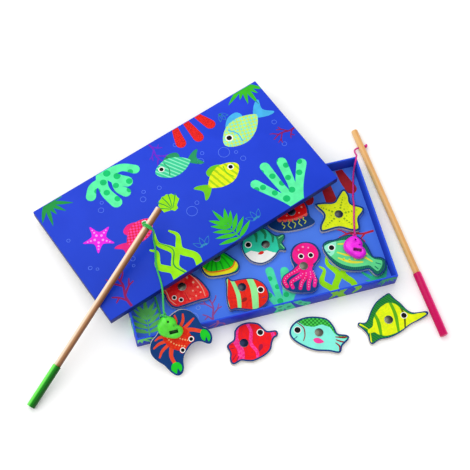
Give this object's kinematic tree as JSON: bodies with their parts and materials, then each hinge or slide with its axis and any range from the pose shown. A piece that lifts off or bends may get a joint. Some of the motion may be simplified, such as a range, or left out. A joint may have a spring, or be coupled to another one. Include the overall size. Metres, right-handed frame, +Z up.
{
  "type": "magnetic fishing game",
  "caption": "Magnetic fishing game: wooden sea creature tiles with steel discs in a shallow board tray, its lid leaning on the tray, and wooden rods with a string and a magnetic lure.",
  "frame": {"origin": "middle of the tray's underside, on the table", "axes": "+X along the tray's length to the right, +Y from the tray's front to its back, +Z up"},
  "size_m": [0.4808, 0.3678, 0.0696],
  "materials": {
    "tray_board": "gloss printed board",
    "lid_board": "gloss printed board",
    "tile_wood": "painted faces, pale edges",
    "disc_steel": "bright plated",
    "dowel_wood": "smooth, unpainted",
    "left_grip_sleeve": "satin",
    "left_string": "twisted string",
    "left_lure_moulding": "gloss",
    "magnet": "ground magnet",
    "right_grip_sleeve": "satin",
    "right_string": "twisted string",
    "right_lure_moulding": "gloss"
  },
  "bodies": {
    "root": {"tray": "tray_board", "lid": "lid_board", "tile_crab": "tile_wood", "tile_snout_fish": "tile_wood", "tile_check_fish": "tile_wood", "tile_longnose_fish": "tile_wood", "tile_ray": "tile_wood", "tile_shell": "tile_wood", "tile_red_fish": "tile_wood", "tile_round_fish": "tile_wood", "tile_jelly": "tile_wood", "tile_star": "tile_wood", "tile_octopus": "tile_wood", "tile_dotted_fish": "tile_wood", "steel_discs": "disc_steel", "left_dowel": "dowel_wood", "left_grip": "left_grip_sleeve", "left_knot": "left_string", "left_cord": "left_string", "left_tail": "left_string", "left_tie": "left_string", "left_lure": "left_lure_moulding", "left_magnet": "magnet", "right_dowel": "dowel_wood", "right_grip": "right_grip_sleeve", "right_knot": "right_string", "right_cord": "right_string", "right_tie": "right_string", "right_lure": "right_lure_moulding", "right_magnet": "magnet"}
  },
  "joints": []
}
